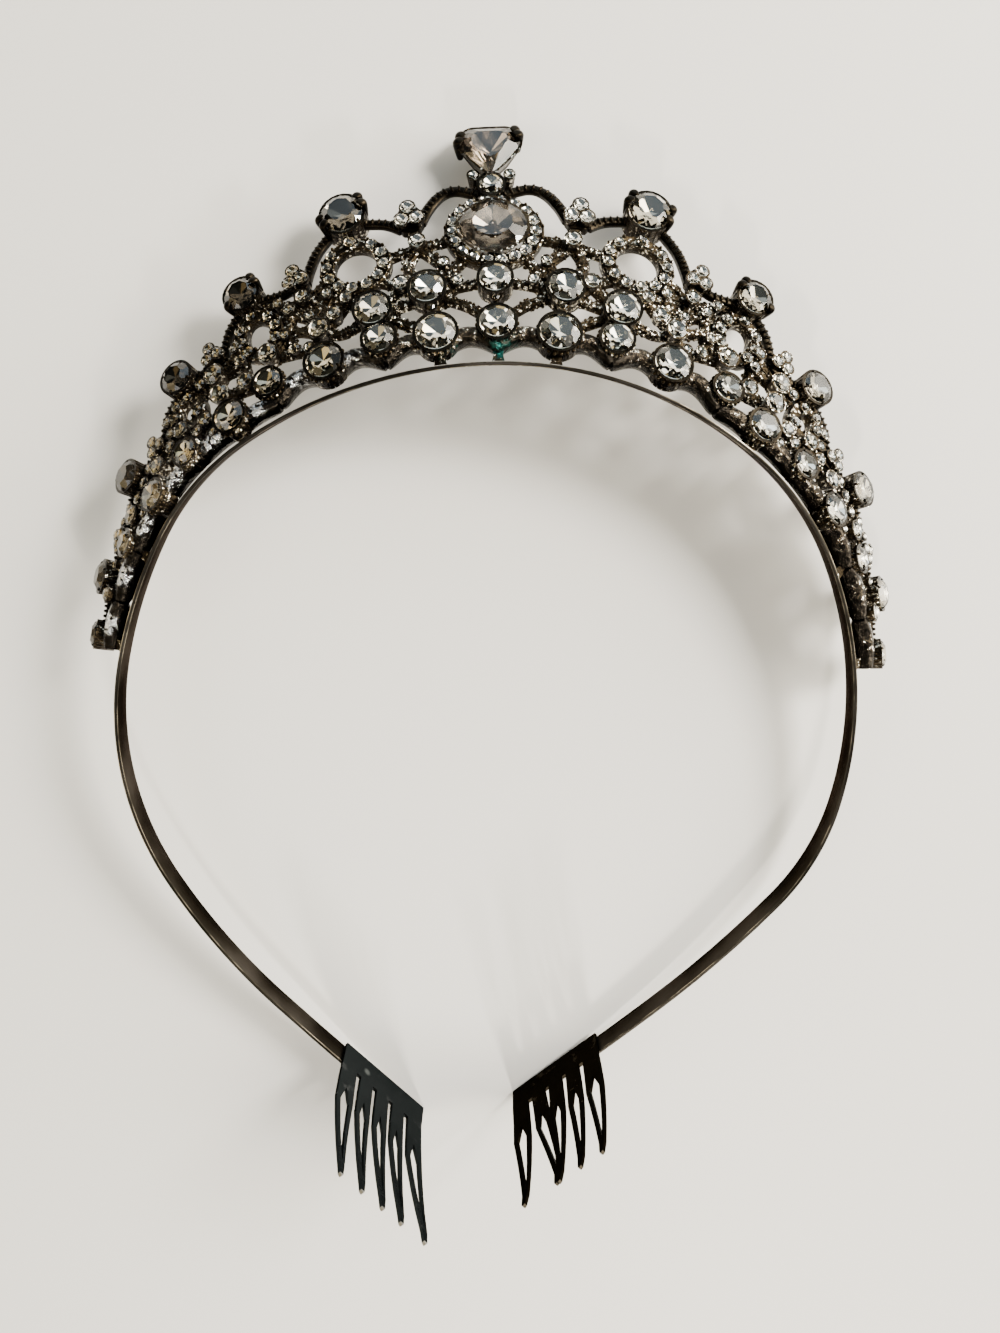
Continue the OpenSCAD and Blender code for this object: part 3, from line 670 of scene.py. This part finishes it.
# Finial and centre settings: a pear cup and an oval cup with a soft point, each hollowed for its
# stone. The finial and the two pairs of tall peaks are held by heavy claws with rounded ends.
def outline_cup(name, outline, size, level, bottom, foot, wall=WALL):
    """A cup whose rim follows the outline of a stone."""
    bpy.ops.mesh.primitive_circle_add(vertices=40, radius=1, fill_type="NGON")
    edit()
    bm = bmesh.from_edit_mesh(bpy.context.edit_object.data)
    for vertex in bm.verts:
        azimuth = math.atan2(vertex.co.y, vertex.co.x)
        ahead, behind = outline(azimuth + 0.01), outline(azimuth - 0.01)
        out = outline(azimuth) * size + wall
        slide = (ahead - behind) / 0.02 * size   # along the facet, to where it meets the next
        vertex.co = (out * math.cos(azimuth) - slide * math.sin(azimuth),
                     out * math.sin(azimuth) + slide * math.cos(azimuth), level)
    bmesh.update_edit_mesh(bpy.context.edit_object.data)
    bpy.ops.mesh.select_all(action="SELECT")
    pull((0, 0, bottom - level), (foot, foot, 1), center_override=(0, 0, bottom))
    close_up()
    pick(lambda middle, normal: abs(normal.z) < 0.7)
    bpy.ops.mesh.inset(thickness=0.12, depth=-0.12, use_individual=True)
    pick(lambda middle, normal: normal.z > 0.9 and abs(middle.z - level) < 0.01)
    bpy.ops.mesh.inset(thickness=wall - 0.08)
    pull((0, 0, -0.6 * size - 0.15), (0.08, 0.08, 1), center_override=(0, 0, level))
    cup = done(name)
    paint(cup, pewter)
    return cup


pear_cup = outline_cup("pear_cup", pear, FINIAL[2], HIGH, -1.2, 0.6, wall=0.53)
onion_cup = outline_cup("onion_cup", onion, CENTRE[2], MID, -1.2, 0.65)
main_cups = soldered([(pear_cup, seat(FINIAL[0], FINIAL[1])),
                      (onion_cup, seat(CENTRE[0], CENTRE[1]))], "finial_and_centre_cups")
fit(main_cups, "casting", "tiara_frame")


def bend_claw():
    """A heavy claw with a rounded end; its foot is at radius 0, low on the cup."""
    bpy.ops.mesh.primitive_cylinder_add(vertices=10, radius=0.5, depth=0.4, location=(0, 0, -2.2))
    bpy.ops.object.transform_apply(location=True)
    edit()
    pick(lambda middle, normal: normal.z > 0.9)
    for move, size in (((0.25, 0, 1.3), 1.05), ((0.12, 0, 1.1), 1.1), ((-0.1, 0, 0.6), 1.15),
                       ((-0.3, 0, 0.45), 0.9), ((-0.3, 0, 0.1), 0.5)):
        pull(move, (size, size, 1))
    return soften(done("heavy_claw"))


claw_pattern = bend_claw()
heavy = []
for row, side, size, turns in (   # the turns are degrees from the right, as seen from the front
        (FINIAL, 1, 1.35, (22, 34, 156, 170)),
        (PEAKS[0], 1, 1.2, (150, 174, -22, 14)), (PEAKS[0], -1, 1.2, (4, 28, 188, 210)),
        (PEAKS[1], 1, 1.1, (150, 172, -18)), (PEAKS[1], -1, 1.1, (6, 30, 212))):
    for turned in turns:
        heavy.append(seat(side * row[0], row[1], HIGH - 0.2)
                     @ Matrix.Rotation(math.radians(turned), 4, "Z")
                     @ Matrix.Translation((row[2] + 0.1, 0, 0))
                     @ Matrix.Diagonal((size, size, 0.85 * size, 1)))
heavy_claws = struck(claw_pattern, heavy, "heavy_claws")
fit(heavy_claws, "casting", "tiara_frame")


# Openwork: rings that carry the small stones, rope arches along the top edge with a milled crest,
# and filigree between the rows. It was cast flat and bent round; it is drawn flat here and wrapped.
def wrap(obj):
    """Bends flat work round the ornament: x is along the hoop, y up, z out of the face."""
    for vertex in obj.data.vertices:
        vertex.co = seat(*vertex.co).to_translation()


def stroll(path, step):
    """Even steps along a smooth line through a list of places."""
    points = [Vector(p) for p in path]
    ends = points[:1] + points + points[-1:]
    fine = []
    for a, b, c, d in zip(ends, ends[1:], ends[2:], ends[3:]):
        for k in range(16):
            t = k / 16
            fine.append(0.5 * (2 * b + (c - a) * t + (2 * a - 5 * b + 4 * c - d) * t ** 2
                               + (3 * b - a - 3 * c + d) * t ** 3))
    fine.append(points[-1])
    length = sum((q - p).length for p, q in zip(fine, fine[1:]))
    count = max(2, round(length / step))
    steps, walked, target = [], 0.0, 0
    for p, q in zip(fine, fine[1:]):
        part = (q - p).length
        while target <= count and walked + part >= length * target / count - 1e-9:
            steps.append(p.lerp(q, (length * target / count - walked) / part if part else 0))
            target += 1
        walked += part
    return steps


def drawn(name, paths, section, closed=False, swell=None):
    """Flat curves with a section swept along them, made into one mesh and wrapped."""
    shape = bpy.data.curves.new("section", "CURVE")
    shape.dimensions = "2D"
    edge = shape.splines.new("POLY")
    edge.use_cyclic_u = True
    edge.points.add(len(section) - 1)
    for point, (u, v) in zip(edge.points, section):
        point.co = (u, v, 0, 1)
    profile = add_object("section", shape)
    line = bpy.data.curves.new(name, "CURVE")
    line.dimensions, line.twist_mode = "3D", "Z_UP"
    line.bevel_mode, line.bevel_object, line.use_fill_caps = "OBJECT", profile, True
    for path in paths:
        spline = line.splines.new("POLY")
        spline.use_cyclic_u = closed
        spline.points.add(len(path) - 1)
        for k, (point, place) in enumerate(zip(spline.points, path)):
            point.co = (*place, 1)
            point.radius = swell(k / (len(path) - 1)) if swell else 1
    only(add_object(name, line))
    bpy.ops.object.convert(target="MESH")
    obj = bpy.context.view_layer.objects.active
    bpy.data.objects.remove(profile)
    wrap(obj)
    edit(obj)
    close_up(0.000005)
    done()
    smooth(obj, 50)
    return obj


def ring_path(row, side, count=48):
    return [(*on_ring(row, side, -k * 2 * math.pi / count), 0) for k in range(count)]


BAND = [(-1.1, -0.65), (-0.95, -0.8), (0.95, -0.8), (1.1, -0.65), (1.1, 1.0), (0.9, 1.2),
        (0.72, 1.05), (-0.72, 1.05), (-0.9, 1.2), (-1.1, 1.0)]
RINGS = [(HALO, 1)] + [(row, side) for row in LOOPS for side in (1, -1)]
rings = drawn("stone_rings", [ring_path(row, side) for row, side in RINGS], BAND, closed=True)
paint(rings, pewter)
fit(rings, "casting", "tiara_frame")

ROPES = (((1.6, 30.8, 0.6), (4.7, 32.2, 0.6), (6.9, 31.3, 0.6), (8.7, 28.8, 0.6), (9.9, 26.2, 0.6)),
         ((12.6, 25.6, 0.6), (14.6, 27.4, 0.6), (18, 28.8, 0.6)),
         ((22.6, 28.2, 0.6), (25, 25.6, 0.6), (26.6, 22.8, 0.6), (27.6, 20.6, 0.6)),
         ((29.8, 20.6, 0.6), (31.8, 20.4, 0.6), (35.2, 21.4, 0.6)),
         ((38.8, 20.8, 0.6), (40.8, 19, 0.6), (42.4, 16.6, 0.5), (43.5, 14.4, 0.3)),
         ((46, 14.2, 0.5), (47.4, 14.5, 0.6), (49.6, 14.9, 0.6)),
         ((52.6, 14.2, 0.6), (55.2, 13, 0.6), (57.2, 10.8, 0.5), (58.5, 8.5, 0.3)),
         ((60.5, 8.4, 0.3), (62.4, 9.2, 0.5), (65, 10.2, 0.6)),
         ((68.3, 9.8, 0.6), (71, 8.6, 0.6), (73.4, 7, 0.6), (74.8, 6.4, 0.6)),
         ((76.2, 6.6, 0.6), (78.6, 7, 0.6), (82, 7.8, 0.6)),
         ((85.4, 7.2, 0.6), (88, 6.2, 0.6), (90.4, 5, 0.6)))
BARS = (((1.2, 6), (4.6, 8.8), (8.8, 11)), ((1.2, 13.4), (8.8, 12.2)), ((9.9, 5), (10.2, 10.4)),
        ((4.1, 18.6), (6.6, 15.6), (9.2, 13)), ((5.4, 22.4), (10.7, 21.7), (16.2, 20.4)),
        ((10.7, 21.7), (11.2, 26.8)), ((10.8, 13), (12.6, 17.8), (11, 21.2)),
        ((11.2, 12.6), (17.4, 16.6)), ((11.4, 11), (17.6, 9.8)), ((11.2, 4.4), (17.6, 9)),
        ((18.9, 12.2), (19.2, 15.8)),
        ((20, 9.6), (24.2, 8.2), (27.2, 9.4)), ((23.2, 17.8), (25.8, 14.6), (27.2, 10.4)),
        ((24, 20.2), (28.6, 17.2), (34.2, 15.4)), ((28.6, 17.2), (28.8, 21.4)),
        ((27.8, 9.6), (30.8, 12), (34.2, 12.8)), ((39.8, 5.4), (45.8, 7)),
        ((39.8, 14.2), (45.4, 12.2), (50.6, 10.4)), ((54.4, 9.4), (59.4, 9)),
        ((54.4, 6.5), (61, 5)),
        ((66.2, 3), (66.4, 9.6)), ((67, 3), (73.6, 3.8)), ((70.4, 4.6), (75.2, 7.2)),
        ((76.2, 3.8), (84.4, 2.8)), ((84.6, 2.6), (91.4, 3.8)))
CENTRE_BARS = (((-2.3, 33.6, 0), (2.3, 33.6, 0)), ((0, 5, 0), (0, 36, 0)),
               ((-5.9, 23, 0), (5.9, 23, 0)))


def both_hands(paths):
    """Paths on the right and their mirror images on the left."""
    return [[(side * p[0], *p[1:]) if len(p) == 3 else (side * p[0], p[1], 0.0) for p in path]
            for side in (1, -1) for path in paths]


ROPE_SECTION = [(-0.78, -0.5), (-0.5, -0.85), (0.5, -0.85), (0.78, -0.5), (0.78, 0.3),
                (0.45, 0.6), (-0.45, 0.6), (-0.78, 0.3)]
arches = drawn("rope_arches", [stroll(path, 0.4) for path in both_hands(ROPES)], ROPE_SECTION)
paint(arches, dark_pewter)
fit(arches, "casting", "tiara_frame")

BAR_SECTION = [(-0.95, -0.5), (-0.7, -0.7), (0.7, -0.7), (0.95, -0.5), (0.95, -0.1),
               (0.45, 0.62), (-0.45, 0.62), (-0.95, -0.1)]
# Links from each stone between the rows to its three nearest neighbours
NEIGHBOURS = [row[:2] for row in PEAKS + BASE_ROW + MID_ROW + MID_SMALL + UNDER + BETWEEN]
WEBS = sorted({tuple(sorted((row[:2], other))) for row in BETWEEN
               for other in sorted(NEIGHBOURS, key=lambda q: math.dist(row[:2], q))[1:4]})
side_bars = both_hands(BARS + tuple(WEBS))
filigree = drawn("filigree_bars", [stroll(path, 0.6) for path in side_bars + list(CENTRE_BARS)],
                 BAR_SECTION)
paint(filigree, pewter)
fit(filigree, "casting", "tiara_frame")

# Milling: rows of small beads raised on the crests of the arches and on both edges of the rings
# between their stones, and a row of pearls round each base cup; grit of all sizes is cast along
# the filigree.
PEARLS = 22
bpy.ops.mesh.primitive_uv_sphere_add(segments=6, ring_count=4, radius=1)
edit()
bpy.ops.mesh.select_all(action="SELECT")
bpy.ops.mesh.bisect(plane_co=(0, 0, -0.45), plane_no=(0, 0, -1), use_fill=True, clear_outer=True)
bead_pattern = only(done("bead_pattern"))
bpy.ops.object.shade_smooth()
paint(bead_pattern, pewter)
crests, beads = [], []
for line in [stroll(path, 0.95) for path in both_hands(ROPES)]:
    for p, q in zip(line, line[1:] + [line[-1] * 2 - line[-2]]):
        heading = math.atan2(q.y - p.y, q.x - p.x)
        crests.append(seat(p.x, p.y, p.z + 0.6) @ Matrix.Rotation(heading, 4, "Z")
                     @ Matrix.Diagonal((0.34, 0.8, 0.5, 1)))
for row, side in RINGS:
    for k in range(row[4]):
        for edge in (-0.95, 0.95):
            wide = (row[0], row[1], row[2] + edge, row[3] + edge)
            beads.append(seat(*on_ring(wide, side, k * 2 * math.pi / row[4]), 1.15)
                         @ Matrix.Diagonal((0.34, 0.34, 0.5, 1)))
for row, side in [(BASE_CENTRE, 1)] + [(row, side) for row in BASE_ROW for side in (1, -1)]:
    for k in range(PEARLS):
        beads.append(seat(side * row[0], row[1], 0.9)
                     @ Matrix.Rotation(k * 2 * math.pi / PEARLS, 4, "Z")
                     @ Matrix.Translation((row[2] + 0.5, 0, 0))
                     @ Matrix.Diagonal((0.34, 0.36, 0.5, 1)))
milling = struck(bead_pattern, beads, "milled_beads")
fit(milling, "casting", "tiara_frame")
knurls = struck(bead_pattern, crests, "knurled_crests")
paint(knurls, dark_pewter)
fit(knurls, "casting", "tiara_frame")
grit = []
for line in [stroll(path, 0.19) for path in side_bars]:
    for p, q in zip(line[2:-2], line[3:]):
        out, fat = random.uniform(-1.15, 1.15), random.triangular(0.16, 0.46, 0.26)
        aside = Vector((p.y - q.y, q.x - p.x, 0)).normalized() * out
        depth = 0.6 - 0.75 * out ** 2 + random.uniform(-0.1, 0.15)   # follows the bar's section
        grit.append(seat(p.x + aside.x, p.y + aside.y, depth)
                    @ Matrix.Rotation(random.uniform(0, 3), 4, "Z")
                    @ Matrix.Diagonal((fat, fat * random.uniform(0.6, 1.2), fat, 1)))
bead_pattern.data.shade_flat()
granulation = struck(bead_pattern, grit, "granulation")
fit(granulation, "casting", "tiara_frame")

# Seats of the small stones: shallow collars. Those of a cluster share a six-sided plate, those on
# the rings are low and narrow, and the single ones stand in the openwork.
bpy.ops.mesh.primitive_cylinder_add(vertices=12, radius=1, depth=1, location=(0, 0, -0.5))
bpy.ops.object.transform_apply(location=True)
edit()
pick(lambda middle, normal: normal.z < -0.9)
bpy.ops.transform.resize(value=(0.72, 0.72, 1))
pick(lambda middle, normal: normal.z > 0.9)
bpy.ops.mesh.inset(thickness=0.14)
bpy.ops.mesh.extrude_region_move(TRANSFORM_OT_translate={"value": (0, 0, -0.12)})
collar_pattern = done("collar_pattern")
paint(collar_pattern, pewter)
collars = []
for place in itertools.chain(*chip_places.values()):
    r, bed = place[2:4]
    on_a_ring = bed == BED and r in (RING_STONE, HALO_STONE)
    rim, wide, deep = (0.2, 0.1, 0.9) if on_a_ring else (0.25 * r, 0.3, bed + 0.8 + 0.25 * r)
    collars.append(chip_matrix(place) @ Matrix.Translation((0, 0, rim))
                   @ Matrix.Diagonal((r + wide, r + wide, deep, 1)))
seats = struck(collar_pattern, collars, "small_stone_collars")
fit(seats, "casting", "tiara_frame")
bpy.ops.mesh.primitive_cylinder_add(vertices=6, radius=1, depth=1, location=(0, 0, 0.5))
bpy.ops.object.transform_apply(location=True)
edit()
bpy.ops.mesh.select_mode(type="EDGE")
bpy.ops.mesh.select_all(action="SELECT")
bpy.ops.mesh.bevel(offset=0.12, segments=2)
plate_pattern = done("plate_pattern")
paint(plate_pattern, dark_pewter)
plate_places = [seat(side * s, h, -0.7) @ Matrix.Rotation(math.radians(30), 4, "Z")
                @ Matrix.Diagonal((spread + r + 0.2, spread + r + 0.2, 1.7, 1))
                for s, h, spread, r in TREFOILS for side in (1, -1)]
plates = struck(plate_pattern, plate_places, "cluster_plates")
fit(plates, "casting", "tiara_frame")

# Scalloped rail: a thick wavy rail runs under the base cups and swells between them; seen edge-on
# it is a string of crinkled barrels. Their middles carry painted highlights: silver on the left
# flank, small painted glints further right. Nine feet tie it to the strip.
RAIL_STOPS = [-0.5] + [row[0] for row in BASE_ROW] + [84.6, 94]
RAIL_STEPS = 16
RAIL_SECTION = [(-1, -2), (-0.55, -2.3), (0.55, -2.3), (1, -2), (1.35, -0.9), (1.35, 0.4),
                (1, 1.25), (0.5, 1.6), (-0.5, 1.6), (-1, 1.25), (-1.35, 0.4), (-1.35, -0.9)]
rail_lines = []
for side in (1, -1):
    for i, (a, b) in enumerate(zip(RAIL_STOPS, RAIL_STOPS[1:])):
        rise = 3 if i < 4 else 1   # the four scallops next to the middle are high, the rest low
        rail_lines.append([(side * (a + (b - a) * k / RAIL_STEPS),
                            rise * math.sin(math.pi * k / RAIL_STEPS), -0.2)
                           for k in range(RAIL_STEPS + 1)])
crinkled, inputs, at = finish("crinkled_casting", Metallic=1.0)
creases = at.lumps(1100, 4, 0.6)
# Painted highlight: a bright patch round the middle of each barrel.
highlight_middles = 0
for line in rail_lines:
    middle = seat(*line[RAIL_STEPS // 2][:2], 1.2).to_translation()
    highlight_middles = at.near(middle, 0.0036) + highlight_middles
wear_and_highlight = (creases.between(0.4, 0.6) * highlight_middles).between(0.12, 0.7)
# Painted glints on the raised crinkles, and painted silver light on the left flank.
glints = creases.between(0.58, 0.66).blend((0.045, 0.036, 0.025), (0.75, 0.7, 0.6))
lit_left_silver = at.sideways(-0.045, -0.018).blend((0.72, 0.74, 0.77), glints)
dark = creases.between(0.42, 0.7).blend((0.008, 0.0066, 0.005), (0.032, 0.027, 0.021))
feed(inputs, Base_Color=verdigris(at).blend(wear_and_highlight.blend(dark, lit_left_silver), VERDIGRIS),
     Roughness=0.13 + 0.12 * at.lumps(400), Normal=creases.relief(0.8, 0.0006))
rail = drawn("scalloped_rail", rail_lines, RAIL_SECTION,
             swell=lambda t: 0.62 + 0.38 * math.sin(math.pi * t) ** 0.6)
paint(rail, crinkled)
fit(rail, "casting", "tiara_frame")

FEET = (0, 9.8, -9.8, 46.4, -46.4, 74.8, -74.8, 92.6, -92.6)
FOOT_WIDE, AT_STRIP, IN_RAIL = 2.2, 2.8, 1.5   # width, and height at the strip and in the rail
SOLDER = 0.06   # gap between a foot and the strip


def foot_at(s):
    """A foot from the strip's outer face up into the rail, a quarter slimmer halfway."""
    px, py, a = hoop(s)
    strip_face = LYING @ Matrix(((math.cos(a), -math.sin(a), 0, px),
                                 (math.sin(a), math.cos(a), 0, py), (0, 0, 1, 0), (0, 0, 0, 1)))
    in_rail = seat(s, 0.6, -0.6)
    bpy.ops.mesh.primitive_cube_add(size=1)
    edit()
    bpy.ops.mesh.select_all(action="SELECT")
    bpy.ops.mesh.subdivide(number_cuts=3)
    foot = done("foot")
    for vertex in foot.data.vertices:
        u, v, w = vertex.co
        low = strip_face @ Vector((u * FOOT_WIDE, SOLDER, -0.1 + w * AT_STRIP))
        high = in_rail @ Vector((u * FOOT_WIDE, 0, w * IN_RAIL))
        core = (strip_face @ Vector((0, SOLDER, -0.1))).lerp(in_rail.to_translation(), v + 0.5)
        vertex.co = core.lerp(low.lerp(high, v + 0.5), 1 - 0.25 * math.sin(math.pi * (v + 0.5)))
    paint(foot, pewter)
    return foot


feet = only(*[foot_at(s) for s in FEET])
bpy.ops.object.join()
feet.name = feet.data.name = "soldered_feet"
edit(feet)
close_up()
done()
smooth(feet, 40)
fit(feet, "casting", "tiara_frame")

for pattern in (round_stone, peak_stone, pear_stone, onion_stone, chip_pattern, grain_pattern,
                pear_cup, onion_cup, claw_pattern, bead_pattern, collar_pattern, plate_pattern,
                *cup_sizes.values()):
    bpy.data.objects.remove(pattern)

# Table, lights and camera: a plain pale table, a soft key light from the upper right, a wide weak
# fill, a small glint, a bright window low on the right with a cooler and a warmer wall, and the
# camera where the photograph was taken from, nearly straight above the hoop.
bpy.ops.mesh.primitive_plane_add(size=8, location=(0, 0, 0))
table = bpy.context.view_layer.objects.active
table.name = "table_top"
pale, inputs, at = finish("pale_table", Roughness=0.7)
feed(inputs, Base_Color=at.lumps(4, 2).blend((0.62, 0.6, 0.56), (0.68, 0.66, 0.62)))
paint(table, pale)

for name, place, size, power, colour in (
        ("key", (0.42, 0.3, 0.38), 0.16, 8.5, (1.0, 0.96, 0.9)),
        ("fill", (-0.45, -0.25, 0.6), 0.4, 1.5, (0.86, 0.92, 1.0)),
        ("glint", (0.12, -0.42, 0.3), 0.05, 2.5, (1.0, 0.94, 0.85))):
    lamp = bpy.data.lights.new(name, "AREA")
    lamp.size, lamp.energy, lamp.color = size, power, colour
    holder = add_object(name, lamp)
    holder.location = place
    toward = Vector((0, 0, 0.01)) - holder.location
    holder.rotation_euler = toward.to_track_quat("-Z", "Y").to_euler()

world = bpy.data.worlds.new("studio")
world.use_nodes = True
sky = world.node_tree.nodes["Background"].inputs
at = Wire(world.node_tree.nodes.new("ShaderNodeTexCoord").outputs["Generated"])
colour = (0.06, 0.064, 0.054)
for side, low, high, glow in (((0.1, 0.93, 0.35), 0.8, 0.97, (1.65, 1.95, 2.15)),
                              ((-0.75, -0.45, 0.48), 0.8, 0.97, (2.2, 1.75, 0.95)),
                              ((0.88, 0.3, 0.36), 0.84, 0.97, (22, 20.8, 18.2))):
    colour = at.along(side).between(low, high).blend(colour, glow)
seen = Wire(world.node_tree.nodes.new("ShaderNodeLightPath").outputs["Is Camera Ray"])
feed(sky, Color=seen.blend(colour, (0.6, 0.595, 0.58)))
sky["Strength"].default_value = 1.0
bpy.context.scene.world = world

lens = bpy.data.cameras.new("camera")
lens.sensor_width, lens.lens = 36, 27
camera = add_object("camera", lens)
camera.location = (0.007232, 0.038668, 0.195924)
camera.rotation_euler = [math.radians(v) for v in (-10.57, 1.957, 2.392)]
bpy.context.scene.camera = camera
